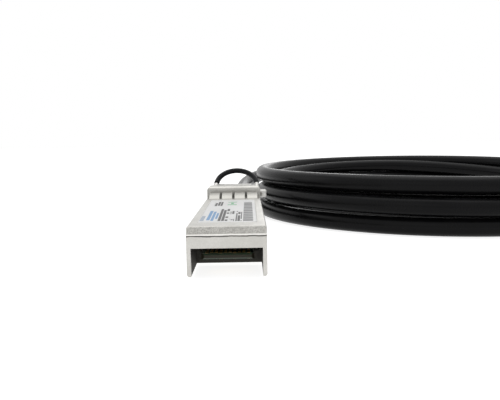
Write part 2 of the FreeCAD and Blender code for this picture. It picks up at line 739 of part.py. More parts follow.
def latch_lever(end):
    """A lever in the underside: its boss locks in the port, and its wings are lifted by the slide."""
    body = new_body(end, "latch_lever")
    eye_top = "lever_pivot_y"
    half = "lever_width / 2"
    tail = "wing_start + wing_length"
    side = [
        (eye_top, "lever_bottom"),
        ("boss_start", "lever_bottom"),
        ("boss_start", "0"),
        ("boss_start + boss_height", "-boss_height"),
        ("boss_start + boss_length", "-boss_height"),
        ("boss_start + boss_length", "wing_bottom"),
        (tail, "wing_bottom"),
        (tail, "lever_top"),
        (eye_top, "lever_top"),
    ]
    boss_half = "boss_width / 2"
    pad(body, "YZ_Plane", f"-{boss_half}", boss_half, side)
    bar = [(eye_top, "lever_bottom"), ("boss_start + boss_length", "lever_bottom")]
    bar += [("boss_start + boss_length", "wing_bottom"), (tail, "wing_bottom"), (tail, "lever_top"), (eye_top, "lever_top")]
    pad(body, "YZ_Plane", f"-{half}", half, bar)
    wings = wide("prong_outer - slack", "wing_bottom", "lever_top")
    pad(body, "XZ_Plane", "wing_start", tail, wings)
    pad(body, "YZ_Plane", f"-{half}", half, (eye_top, "lever_pivot_z", "barrel_radius"))
    pin = (eye_top, "lever_pivot_z", "lever_pin_radius + turn_gap")
    pocket(body, "YZ_Plane", f"-{half} - slack", f"{half} + slack", pin)
    place(body, end)


def lever_pin(end):
    body = new_body(end, "lever_pin")
    reach = "channel_width / 2 + lever_pin_bite"
    pad(body, "YZ_Plane", f"-({reach})", reach, ("lever_pivot_y", "lever_pivot_z", "lever_pin_radius"))
    place(body, end)


def latch_spring(end):
    """A bowed leaf between the channel's roof and the lever's back."""
    thick = size("leaf_thick")
    roof = size("channel_height") - size("turn_gap")
    low = size("lever_top") + size("turn_gap") / 2
    half = size("leaf_length") / 2
    sag = roof - thick - low
    radius = (half**2 + sag**2) / (2 * sag)
    middle = size("leaf_start") + half
    left = -size("leaf_width") / 2

    def arc(r, turn_back):
        high = low + radius - math.sqrt(r**2 - half**2)
        points = [V(left, middle - half, high), V(left, middle, low + radius - r), V(left, middle + half, high)]
        return Part.Arc(*(reversed(points) if turn_back else points)).toShape()

    under = arc(radius, False)
    over = arc(radius - thick, True)
    ends = [Part.LineSegment(under.Vertexes[1].Point, over.Vertexes[0].Point).toShape()]
    ends.append(Part.LineSegment(over.Vertexes[1].Point, under.Vertexes[0].Point).toShape())
    face = Part.Face(Part.Wire(Part.__sortEdges__([under, over, *ends])))
    add_shape(end, "latch_spring", face.extrude(V(size("leaf_width"), 0, 0)))


def pull_slide(end):
    """A stamped slide: a fork with ramps under the lever's wings, and two arms for the ring's pins."""
    body = new_body(end, "pull_slide")
    top = "slide_gap + slide_sheet"
    back = "arm_front + arm_length"
    half = [
        ("prong_inner", "prong_front"),
        ("prong_outer", "prong_front"),
        ("prong_outer", "slide_wide"),
        ("arm_outer", "slide_wide"),
        ("arm_outer", back),
    ]
    slot = [("prong_inner", "slide_neck")]
    left = [(f"-{x}", y) for x, y in reversed(half)]
    outline = half + left + [(f"-{x}", y) for x, y in slot] + slot
    pad(body, "XY_Plane", "slide_gap", top, outline)
    ramp = [
        ("ramp_foot", f"{top} - slack"),
        ("ramp_foot", top),
        ("prong_front + ramp_flat", f"{top} + ramp_rise"),
        ("prong_front", f"{top} + ramp_rise"),
        ("prong_front", f"{top} - slack"),
    ]
    pad(body, "YZ_Plane", "prong_inner", "prong_outer", ramp)
    pad(body, "YZ_Plane", "-prong_outer", "-prong_inner", ramp)
    arm = rect("arm_front", "slide_gap", back, "ring_pivot_z + ring_eye_radius")
    pad(body, "YZ_Plane", ARM_INNER, "arm_outer", arm)
    pad(body, "YZ_Plane", "-arm_outer", f"-({ARM_INNER})", arm)
    crest = size("ring_pivot_z + ring_eye_radius")
    corners = [{"y": size(y), "z": crest} for y in ("arm_front", back)]
    dress(body, "Fillet", "ring_eye_radius - slack", corners)
    hole = ("ring_pivot_y", "ring_pivot_z", "ring_pin_radius")
    pocket(body, "YZ_Plane", f"-arm_outer - {PAST}", f"arm_outer + {PAST}", hole)
    place(body, end)


def ring_pins(end):
    """Two headed pins, pressed through the slide's arms."""
    pins = []
    for side in (-1, 1):
        out = V(side, 0, 0)
        at = V(side * size(ARM_INNER), size("ring_pivot_y"), size("ring_pivot_z"))
        head_start = size("arm_outer + ring_eye_thick + 3 * slack")
        knob_long = size("ring_knob_out") - head_start
        shank = Part.makeCylinder(size("ring_pin_radius"), head_start - size(ARM_INNER) + knob_long / 2, at, out)
        head_at = V(side * head_start, at.y, at.z)
        head = Part.makeCylinder(size("ring_knob_radius"), knob_long, head_at, out)
        far_edge = [e for e in head.Edges if abs(abs(e.BoundBox.Center.x) - size("ring_knob_out")) < NEAR_ZERO]
        head = head.makeFillet(size("ring_knob_radius") * 0.7, far_edge)
        pins.append(shank.fuse(head).removeSplitter().Solids[0])
    add_shape(end, "ring_pins", Part.makeCompound(pins))


# ---- pull ring -------------------------------------------------------------------------------


def bow_point(degrees):
    """A point of the ring's centre line, `degrees` round its bow from the right leg, in the ring's plane."""
    angle = math.radians(degrees)
    half = size("ring_half")
    return V(half * math.cos(angle), size("ring_leg") + half * math.sin(angle), 0)


def bow(start, finish, radius):
    """A round bar along part of the bow."""
    first, middle, last = (bow_point(angle) for angle in (start, (start + finish) / 2, finish))
    path = Part.Wire([Part.Arc(first, middle, last).toShape()])
    heading = V(-math.sin(math.radians(start)), math.cos(math.radians(start)), 0)
    section = Part.Wire([Part.Circle(first, heading, radius).toShape()])
    return path.makePipeShell([section], True, False)


def lean_back(item):
    """Places a piece of the ring: its pivot at the pins, leaning back over the cable."""
    item.Placement = FreeCAD.Placement(V(), FreeCAD.Rotation(V(1, 0, 0), size("ring_lean")))
    item.setExpression("Placement.Rotation.Angle", bound("ring_lean"))
    item.setExpression("Placement.Base.y", bound(f"ring_pivot_y - {MIDDLE_Y}"))
    item.setExpression("Placement.Base.z", bound("ring_pivot_z + boss_height"))


def pull_ring(end):
    """A wire ring with an eye and a barrel on each end."""
    wire = size("ring_wire_radius")
    half = size("ring_half")
    shape = bow(0, 180, wire)
    pieces = []
    eye_thick = size("ring_eye_thick")
    for side in (-1, 1):
        inner = size("arm_outer") + 1.5 * size("slack")
        eye_at = V(side * inner, 0, 0)
        pieces.append(Part.makeCylinder(size("ring_eye_radius"), eye_thick, eye_at, V(side, 0, 0)))
        start = size("ring_pin_radius + ring_wire_radius")
        foot = V(side * half, start, 0)
        barrel = Part.makeCylinder(size("ring_barrel_radius"), size("ring_barrel_end") - start, foot, V(0, 1, 0))
        pieces.append(barrel)
    shape = shape.fuse(pieces)
    bore = Part.makeCylinder(size("ring_pin_radius + turn_gap"), 4 * half, V(-2 * half, 0, 0), V(1, 0, 0))
    item = add_shape(end, "pull_ring", shape.cut(bore).removeSplitter().Solids[0])
    lean_back(item)


def ring_sleeve(end):
    """A soft sleeve on the ring's bow."""
    start = size("sleeve_start")
    skin = bow(start, 180 - start, size("sleeve_radius"))
    core = bow(start, 180 - start, size("ring_wire_radius"))
    item = add_shape(end, "ring_sleeve", skin.cut(core).Solids[0])
    lean_back(item)


# ---- cable -----------------------------------------------------------------------------------


def cable_end(end, route):
    """The stretch of cable between a plug's ferrule and the coil."""
    height = size("cable_axis + boss_height")
    points = [V(0, size("ferrule_start"), height)]
    points += [V(x, y, height if z is None else z) for x, y, z in route]
    shape, radii = tube(points, size("cable_radius"))
    print(end, "lead, mm between corners:", [round((b - a).Length, 1) for a, b in zip(points, points[1:])])
    print(end, "lead, radii in mm:", [round(radius, 1) for radius in radii])
    add_shape(end, "lead", shape, "0")


def cable_coil():
    """The coil's outer form: a rounded ring that lies flat."""
    body = doc.addObject("PartDesign::Body", "cable_coil")
    body.Label = "cable_coil"
    sketch = new_sketch(body, "XZ_Plane", "0")
    draw(sketch, [rect("coil_inner", "0", "coil_outer", "coil_height")])
    feature = body.newObject("PartDesign::Revolution", "Revolution")
    feature.Profile = sketch
    feature.ReferenceAxis = (sketch, ["V_Axis"])
    feature.Angle = 360.0
    doc.recompute()
    rims = [f"Edge{k}" for k, edge in enumerate(feature.Shape.Edges, 1) if edge.BoundBox.ZLength < NEAR_ZERO and edge.Closed]
    rounding = body.newObject("PartDesign::Fillet", "Fillet")
    rounding.Base = (feature, rims)
    rounding.setExpression("Radius", bound("coil_round"))
    body.setExpression("Placement.Base.x", bound("end_spacing / 2"))
    body.setExpression("Placement.Base.y", bound(f"coil_y - {MIDDLE_Y}"))
    NODES.append(body)


# ---- checks and output -----------------------------------------------------------------------


def check_document():
    doc.recompute()
    for item in doc.Objects:
        if "Invalid" in item.State or "Error" in item.State:
            raise RuntimeError(f"{item.Label} did not compute: {item.State}")
        if item.TypeId == "PartDesign::Pocket" and item.Shape.Volume >= item.BaseFeature.Shape.Volume - NEAR_ZERO:
            raise RuntimeError(f"{item.getParentGeoFeatureGroup().Label}.{item.Name} cuts nothing")
    for node in NODES:
        if node.Shape.isNull() or not node.Shape.isValid():
            raise RuntimeError(f"{node.Label} has no valid shape")


def write_parts():
    os.makedirs("parts", exist_ok=True)
    for node in NODES:
        node.Shape.exportStep(f"parts/{node.Label}.step")
    print(len(NODES), "nodes written")


write_sheet()
PIECES = [
    base_shell,
    top_cover,
    label,
    cover_screws,
    paddle_card,
    contact_pads,
    memory_chip,
    capacitors,
    wire_pairs,
    crimp_ferrule,
    strain_relief,
    spring_collar,
    latch_lever,
    lever_pin,
    latch_spring,
    pull_slide,
    ring_pins,
    pull_ring,
    ring_sleeve,
]
for end_name in END_X:
    for piece in PIECES:
        piece(end_name)
cable_end("near", NEAR_ROUTE)
cable_end("far", FAR_ROUTE)
cable_coil()
check_document()
write_parts()
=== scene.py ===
import json
import math

import bmesh
import bpy
import numpy as np
from mathutils import Matrix, Vector


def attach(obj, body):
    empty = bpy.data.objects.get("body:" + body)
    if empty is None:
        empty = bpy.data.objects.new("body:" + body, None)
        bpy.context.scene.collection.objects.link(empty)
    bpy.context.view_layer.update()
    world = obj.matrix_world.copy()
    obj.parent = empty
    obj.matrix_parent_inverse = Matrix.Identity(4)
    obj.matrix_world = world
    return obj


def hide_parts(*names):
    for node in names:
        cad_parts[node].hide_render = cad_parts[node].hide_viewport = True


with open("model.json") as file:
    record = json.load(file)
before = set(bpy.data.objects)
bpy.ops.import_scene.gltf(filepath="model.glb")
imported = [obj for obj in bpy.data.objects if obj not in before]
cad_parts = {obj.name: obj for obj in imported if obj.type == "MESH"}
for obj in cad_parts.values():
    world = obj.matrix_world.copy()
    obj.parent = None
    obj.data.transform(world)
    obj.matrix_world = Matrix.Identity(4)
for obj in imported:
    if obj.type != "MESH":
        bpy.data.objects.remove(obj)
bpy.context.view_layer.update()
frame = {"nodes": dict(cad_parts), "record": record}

# A direct attach copper cable: two pluggable metal ends and the coiled twinaxial cable between.
# Lengths below are in millimetres and become metres through `mm`. The origin is on the surface
# under the middle of the near plug, +Y runs from its nose to its cable and +X to the far plug.

MM = 0.001
ENDS = {"near": 0.0, "far": 123.0}
NOSE_Y = -34.5
LIFT = 0.45


def mm(*values):
    return tuple(value * MM for value in values)


def plug_point(end, x, y, z):
    """A point in a plug's own frame: X across, Y behind the nose, Z above the underside."""
    return Vector(mm(ENDS[end] + x, NOSE_Y + y, LIFT + z))


def link(thing):
    bpy.context.scene.collection.objects.link(thing)


# ---- camera ----------------------------------------------------------------------------------

SENSOR_WIDTH = 36.0
LENS = 38.52
CLIP = (0.005, 20.0)

# Where the camera is in the near plug's frame, and its angles in degrees.
CAMERA_PLACE = (3.8, -87.0, 22.2)
CAMERA_HEADING = -0.12
CAMERA_DIP = 6.2
CAMERA_ROLL = -0.95


def add_camera():
    data = bpy.data.cameras.new("camera")
    data.sensor_fit = "HORIZONTAL"
    data.sensor_width = SENSOR_WIDTH
    data.lens = LENS
    data.clip_start, data.clip_end = CLIP
    camera = bpy.data.objects.new("camera", data)
    link(camera)
    heading = Matrix.Rotation(math.radians(CAMERA_HEADING), 4, "Z")
    tilt = Matrix.Rotation(math.radians(90.0 - CAMERA_DIP), 4, "X")
    roll = Matrix.Rotation(math.radians(CAMERA_ROLL), 4, "Z")
    place = Matrix.Translation(plug_point("near", *CAMERA_PLACE))
    camera.matrix_world = place @ heading @ tilt @ roll
    bpy.context.scene.camera = camera


# ---- cable -----------------------------------------------------------------------------------

CABLE_DIAMETER = 4.5
FERRULE_Y = 46.4
CABLE_Z = 5.35

# The cable's way from each plug to the coil: X across that plug, Y behind its nose and Z above
# the surface. The near end climbs onto the coil, and the far end comes out from under it.
STRAIGHT_OUT = [(0, FERRULE_Y, CABLE_Z), (0, 84, CABLE_Z)]
NEAR_LEAD = STRAIGHT_OUT + [(4.5, 118, 9.4), (22, 136, 11.4), (44, 140, 11.8)]
FAR_LEAD = STRAIGHT_OUT + [(-2, 120, 3.4), (-20, 136, 2.4), (-44, 140, 2.3)]

# Where each turn is meant to lie at its back, right, front and left, from the top of the coil to
# the bottom: its distance from the coil's middle and its height.
TURNS = (
    ((51.4, 10.9), (48.4, 11.0), (49.8, 11.6), (53.0, 11.5)),
    ((48.0, 13.8), (44.6, 11.4), (46.4, 9.4), (52.6, 9.6)),
    ((44.6, 9.2), (44.0, 7.4), (43.2, 7.0), (43.4, 6.0)),
    ((49.8, 6.8), (49.2, 6.7), (50.6, 6.7), (56.8, 7.4)),
    ((45.4, 3.0), (45.2, 2.3), (44.8, 2.3), (48.2, 2.3)),
    ((49.4, 2.3), (49.6, 2.3), (50.5, 2.3), (52.6, 2.3)),
)
TURNS_END = (50.6, 2.3)

# Where the first turn starts round the coil, and how far the cable runs round it, in degrees.
COIL_CENTRE = (61.5, 50.0)
COIL_ENTRY = 84.9
COIL_TRAVEL = 2149.8
POINTS_A_TURN = 12
COIL_STEPS = POINTS_A_TURN * len(TURNS)

# Slight waves in the turns: how many a turn, and their size and start, out and up.
WAVES = (
    (0.83, (0.35, 0.15), (3.926, 4.871)),
    (1.42, (0.175, 0.075), (5.635, 1.414)),
)

# How the turns settle. A pass is pushed while its middle is less than PASS_GAP from another's or
# less than LOWEST above the surface, is held near where it is meant to lie, and resists bends, out
# and up. The hold wins in places, so passes still press up to 0.4 mm into each other.
PASS_GAP = 4.62
LOWEST = 2.27
FLOOR_PUSH = 400.0
HOLD = 2.4
STIFFNESS = (6.0, 12.0)

# The cable is looked at in SAMPLES places from point to point. Places less than SAME_PASS apart
# along it are one pass, and the passes less than LOOK_AHEAD from a push are found now and then.
SAMPLES = 5
SAME_PASS = 13
LOOK_AHEAD = 4.0
LOOK_EVERY = 25

# Three rounds of it, each with its push between passes, steps, pace and the speed that it keeps.
SETTLING = (
    (10.0, 200, 2e-3, 0.9),
    (80.0, 400, 6e-4, 0.95),
    (800.0, 2000, 9e-5, 0.985),
)


def meant_lay():
    """How far out and how high the turns are meant to lie, at each step round the coil."""
    stations = np.array([station for turn in TURNS for station in turn] + [TURNS_END] * 2)
    steps = np.arange(COIL_STEPS + 1)
    place = (COIL_TRAVEL * steps / COIL_STEPS + 90 - COIL_ENTRY) / 90
    before = np.minimum(place.astype(int), len(stations) - 2)
    share = np.minimum(place - before, 1)[:, None]
    share = share**2 * (3 - 2 * share)
    lay = stations[before] + (stations[before + 1] - stations[before]) * share
    for waves, sizes, starts in WAVES:
        turned = steps[:, None] * waves * math.tau / POINTS_A_TURN
        lay += np.array(sizes) * np.sin(turned + starts)
    return lay


def ways_round():
    """The way out from the coil's middle at each step.

    It is a little longer than 1, because a smooth line runs inside its points.
    """
    angles = np.radians(COIL_ENTRY - COIL_TRAVEL * np.arange(COIL_STEPS + 1) / COIL_STEPS)
    return np.column_stack([np.cos(angles), np.sin(angles)]) / math.cos(math.pi / POINTS_A_TURN)


def cable_route(lay):
    """The cable's points from the near plug to the far one, for turns that lie as given."""
    near = np.array(NEAR_LEAD) + (0, NOSE_Y, 0)
    far = np.array(FAR_LEAD) + (ENDS["far"], NOSE_Y, 0)
    turns = np.column_stack([COIL_CENTRE + ways_round() * lay[:, :1], lay[:, 1]])
    return np.vstack([near, turns, far[::-1]])


def sample_weights(count):
    """How much each of a row of points weighs at each sample along their smooth line."""
    weights = np.zeros(((count - 2) * SAMPLES, count))
    for row in range(len(weights)):
        span, number = divmod(row, SAMPLES)
        late = number / SAMPLES
        early = 1 - late
        weights[row, span:span + 3] = (early**2 / 2, 0.5 + early * late, late**2 / 2)
    return weights


def contact_forces(line, first, second, push):
    """What pushes each sample of the cable off the other passes and off the surface."""
    apart = line[first] - line[second]
    gap = np.linalg.norm(apart, axis=1)[:, None]
    force = push * np.maximum(PASS_GAP / gap - 1, 0) * apart
    forces = np.zeros_like(line)
    np.add.at(forces, first, force)
    np.add.at(forces, second, -force)
    forces[:, 2] += FLOOR_PUSH * np.maximum(LOWEST - line[:, 2], 0)
    return forces


def settled_lay():
    """Moves the turns from where they are meant to lie, pushing apart passes that are in each
    other.
    """
    meant = meant_lay()
    lay = meant.copy()
    ways = ways_round()
    turns = slice(len(NEAR_LEAD), len(NEAR_LEAD) + len(lay))
    weights = sample_weights(len(cable_route(lay)))
    all_first, all_second = np.triu_indices(len(weights), SAME_PASS)
    for push, steps, pace, kept in SETTLING:
        speed = np.zeros_like(lay)
        for step in range(steps):
            line = weights @ cable_route(lay)
            if step % LOOK_EVERY == 0:
                gaps = np.linalg.norm(line[all_first] - line[all_second], axis=1)
                close = gaps < PASS_GAP + LOOK_AHEAD
                first, second = all_first[close], all_second[close]
            pushed = (weights.T @ contact_forces(line, first, second, push))[turns]
            pull = np.column_stack([(pushed[:, :2] * ways).sum(axis=1), pushed[:, 2]])
            pull -= HOLD * (lay - meant)
            bend = STIFFNESS * np.diff(lay, 2, axis=0)
            pull[:-2] -= bend
            pull[1:-1] += 2 * bend
            pull[2:] -= bend
            speed = kept * speed + pace * pull
            lay += speed
    return lay.round(1)


def smooth_line(curve, points):
    """Gives a curve one smooth line that starts and ends at the first and last point."""
    curve.dimensions = "3D"
    spline = curve.splines.new("NURBS")
    spline.points.add(len(points) - 1)
    for point, place in zip(spline.points, points):
        point.co = (*place, 1.0)
    spline.order_u = 3
    spline.use_endpoint_u = True


def new_cable_curve():
    curve = bpy.data.curves.new("copper_cable", "CURVE")
    curve.resolution_u = 12
    curve.bevel_depth = CABLE_DIAMETER / 2 * MM
    curve.bevel_resolution = 6
    smooth_line(curve, [mm(*place) for place in cable_route(settled_lay())])
    cable = bpy.data.objects.new("copper_cable", curve)
    link(cable)
    cable.data.materials.append(jacket_material())
    return cable


def declare_cable(cable):
    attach(cable, "root")
    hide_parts("near_lead", "cable_coil", "far_lead")


# ---- shader building blocks ------------------------------------------------------------------


def set_inputs(tree, made, inputs):
    for key, value in inputs.items():
        if isinstance(value, bpy.types.NodeSocket):
            tree.links.new(value, made.inputs[key])
        else:
            made.inputs[key].default_value = value


def add_node(tree, kind, inputs=None, **settings):
    made = tree.nodes.new("ShaderNode" + kind)
    for key, value in settings.items():
        setattr(made, key, value)
    set_inputs(tree, made, inputs or {})
    return made


def compute(tree, operation, first, second=0.0, third=0.0):
    inputs = {0: first, 1: second, 2: third}
    return add_node(tree, "Math", inputs, operation=operation).outputs[0]


def product(tree, first, *others):
    for other in others:
        first = compute(tree, "MULTIPLY", first, other)
    return first


def blend_colours(tree, share, first, second):
    ends = [(*end, 1.0) if isinstance(end, tuple) else end for end in (first, second)]
    inputs = {0: share, 6: ends[0], 7: ends[1]}
    return add_node(tree, "Mix", inputs, data_type="RGBA").outputs[2]


def lay_over(tree, tone, mask, strength, colour):
    """A tone with a colour laid over it, as strongly as a mask and a plain share say."""
    return blend_colours(tree, product(tree, mask, strength), tone, colour)


def ramp(tree, value, low, high, to_low=0.0, to_high=1.0, smooth=False):
    inputs = {"Value": value, "From Min": low, "From Max": high}
    inputs |= {"To Min": to_low, "To Max": to_high}
    kind = "SMOOTHSTEP" if smooth else "LINEAR"
    return add_node(tree, "MapRange", inputs, interpolation_type=kind, clamp=True).outputs[0]


def object_place(tree):
    return add_node(tree, "TexCoord").outputs["Object"]


def facing(tree):
    """Which way a point of the surface faces, as X, Y and Z."""
    return add_node(tree, "SeparateXYZ", {0: add_node(tree, "TexCoord").outputs["Normal"]}).outputs


def noise(tree, place, scale, detail, roughness=0.5):
    inputs = {"Vector": place, "Scale": scale, "Detail": detail, "Roughness": roughness}
    return add_node(tree, "TexNoise", inputs).outputs[0]


def new_group(name, inputs, outputs):
    group = bpy.data.node_groups.new(name, "ShaderNodeTree")
    for label, value in inputs.items():
        kind = "NodeSocketVector" if isinstance(value, tuple) else "NodeSocketFloat"
        socket = group.interface.new_socket(label, in_out="INPUT", socket_type=kind)
        socket.default_value = value
    for label, kind in outputs.items():
        group.interface.new_socket(label, in_out="OUTPUT", socket_type="NodeSocket" + kind)
    given = group.nodes.new("NodeGroupInput").outputs
    result = group.nodes.new("NodeGroupOutput").inputs
    return group, given, result


def use_group(tree, name, inputs):
    made = tree.nodes.new("ShaderNodeGroup")
    made.node_tree = bpy.data.node_groups[name]
    set_inputs(tree, made, inputs)
    return made.outputs


# ---- effects that the finishes share ---------------------------------------------------------

# A noise's scale is its grains in a metre, for grains of one millimetre and for patches of wear
# and dust. A cloud is so many grains across.
GRAINS_A_METRE = 1000.0
WEAR_PATCHES = 900.0
DUST_PATCHES = 160.0
CLOUD_SIZE = 24.0

# The cosine between a rounded edge's normal and the flat one, where wear starts and is full.
WEAR_STARTS = 0.995
WEAR_FULL = 0.86

# The soft edge of a printed field, in millimetres, and the share of its bars that are left out.
PRINT_BLUR = 0.04
BARS_LEFT_OUT = 0.16


def build_surface_grain():
    """Fine grain and slow clouds over a surface, from the size of one grain in millimetres."""
    outputs = {"Fine": "Float", "Cloud": "Float"}
    group, given, result = new_group("surface_grain", {"Size": 0.2}, outputs)
    place = object_place(group)
    scale = compute(group, "DIVIDE", GRAINS_A_METRE, given["Size"])
    fine = noise(group, place, scale, 3.0, 0.6)
    cloud = noise(group, place, compute(group, "DIVIDE", scale, CLOUD_SIZE), 2.0)
    group.links.new(ramp(group, fine, 0.3, 0.7), result["Fine"])
    group.links.new(ramp(group, cloud, 0.32, 0.68), result["Cloud"])


def build_worn_edges():
    """Softened edges of a width in millimetres, and a broken mask where they are rubbed bright."""
    outputs = {"Mask": "Float", "Normal": "Vector"}
    group, given, result = new_group("worn_edges", {"Width": 0.1}, outputs)
    radius = product(group, given["Width"], MM)
    rounded = add_node(group, "Bevel", {"Radius": radius}, samples=6).outputs[0]
    flat = add_node(group, "NewGeometry").outputs["Normal"]
    turn = add_node(group, "VectorMath", {0: rounded, 1: flat}, operation="DOT_PRODUCT")
    edge = ramp(group, turn.outputs["Value"], WEAR_STARTS, WEAR_FULL, smooth=True)
    broken = ramp(group, noise(group, object_place(group), WEAR_PATCHES, 3.0), 0.38, 0.6)
    group.links.new(product(group, edge, broken), result["Mask"])
    group.links.new(rounded, result["Normal"])


def build_drawn_lines():
    """Long fine lines, as rolling or drawing leaves them, along the axis with the least stretch."""
    inputs = {"Stretch": (1.0, 0.03, 1.0), "Size": 0.1}
    group, given, result = new_group("drawn_lines", inputs, {"Lines": "Float"})
    ends = {0: object_place(group), 1: given["Stretch"]}
    drawn = add_node(group, "VectorMath", ends, operation="MULTIPLY").outputs[0]
    scale = compute(group, "DIVIDE", GRAINS_A_METRE, given["Size"])
    group.links.new(ramp(group, noise(group, drawn, scale, 2.0), 0.3, 0.7), result["Lines"])


def build_settled_dust():
    """A light film of dust that lies on faces that look up, in soft patches."""
    group, given, result = new_group("settled_dust", {"Amount": 0.2}, {"Mask": "Float"})
    flat = add_node(group, "NewGeometry").outputs["Normal"]
    up = add_node(group, "SeparateXYZ", {0: flat}).outputs["Z"]
    patch = ramp(group, noise(group, object_place(group), DUST_PATCHES, 4.0), 0.35, 0.7)
    lying = ramp(group, up, 0.1, 0.95)
    group.links.new(product(group, lying, patch, given["Amount"]), result["Mask"])


def build_print_field():
    """One printed field of the label, from its four sides in millimetres."""
    inputs = {"Across": 0.0, "Along": 0.0, "Left": -1.0, "Right": 1.0, "Front": 0.0, "Rear": 1.0}
    group, given, result = new_group("print_field", inputs, {"Mask": "Float"})

    def between(place, low, high):
        past_low = compute(group, "SUBTRACT", given[place], given[low])
        before_high = compute(group, "SUBTRACT", given[high], given[place])
        sides = [ramp(group, side, -PRINT_BLUR, PRINT_BLUR) for side in (past_low, before_high)]
        return product(group, *sides)

    mask = product(group, between("Across", "Left", "Right"), between("Along", "Front", "Rear"))
    group.links.new(mask, result["Mask"])


def build_ruled_bars():
    """Rows of short plain bars that stand for small print, without any letters."""
    inputs = {"Across": 0.0, "Along": 0.0, "Row": 0.5, "Word": 1.2}
    group, given, result = new_group("ruled_bars", inputs, {"Mask": "Float"})
    row = compute(group, "DIVIDE", given["Across"], given["Row"])
    word = compute(group, "DIVIDE", given["Along"], given["Word"])
    in_row = ramp(group, compute(group, "PINGPONG", row, 0.5), 0.06, 0.14)
    corner = {0: compute(group, "FLOOR", row), 1: compute(group, "FLOOR", word)}
    cell = add_node(group, "CombineXYZ", corner).outputs[0]
    chance = add_node(group, "TexWhiteNoise", {"Vector": cell}, noise_dimensions="2D")
    in_word = compute(group, "GREATER_THAN", chance.outputs["Value"], BARS_LEFT_OUT)
    group.links.new(product(group, in_row, in_word), result["Mask"])


def build_groups():
    build_surface_grain()
    build_worn_edges()
    build_drawn_lines()
    build_settled_dust()
    build_print_field()
    build_ruled_bars()


# ---- materials -------------------------------------------------------------------------------


def new_material(name):
    material = bpy.data.materials.new(name)
    material.use_nodes = True
    return material, material.node_tree, material.node_tree.nodes["Principled BSDF"]


def connect(tree, shader, colour, roughness, normal):
    tree.links.new(colour, shader.inputs["Base Color"])
    tree.links.new(roughness, shader.inputs["Roughness"])
    tree.links.new(normal, shader.inputs["Normal"])


def relief(tree, height, depth, normal):
    inputs = {"Strength": 1.0, "Distance": depth * MM, "Height": height, "Normal": normal}
    return add_node(tree, "Bump", inputs).outputs[0]


def plug_place(tree, end):
    """Across, along and up in a plug's own millimetres."""
    ends = {0: object_place(tree), 1: mm(ENDS[end], NOSE_Y, LIFT)}
    moved = add_node(tree, "VectorMath", ends, operation="SUBTRACT").outputs[0]
    scaled = add_node(tree, "VectorMath", {0: moved, "Scale": 1.0 / MM}, operation="SCALE")
    return add_node(tree, "SeparateXYZ", {0: scaled.outputs[0]}).outputs


def from_nearer_middle(tree, across):
    """How far a point lies to the side of the nearer plug's middle."""
    halfway = ENDS["far"] / 2
    folded = compute(tree, "PINGPONG", compute(tree, "ADD", across, halfway), ENDS["far"])
    return compute(tree, "ABSOLUTE", compute(tree, "SUBTRACT", folded, halfway))


# The casting's tones, among them its painted shade, shadow and highlight, and where its halves
# part and its mouth is, in the plug's millimetres.
NICKEL = ((0.53, 0.52, 0.49), (0.61, 0.60, 0.57))
NICKEL_GRAIN = (0.43, 0.42, 0.39)
# A dark tone for painted shade, with a coarse grain, on the front faces.
NICKEL_COARSE_SHADE = (0.20, 0.195, 0.18)
NICKEL_RUBBED = (0.88, 0.87, 0.84)
# A bright tone for a painted highlight along the lip above the joint.
NICKEL_LIP_HIGHLIGHT = (0.86, 0.85, 0.81)
# A dark tone for a painted shadow in the crack between the halves.
JOINT_SHADOW = (0.03, 0.028, 0.022)
# A dark tone for painted shade inside the mouth.
MOUTH_SHADE = (0.022, 0.021, 0.017)
PARTING_Z = 6.9
JOINT_RISE = 0.12
JOINT_WAVE = 0.4
JOINT_WAVES = 500.0
MOUTH_HALF = 6.02
MOUTH_TOP = 4.82


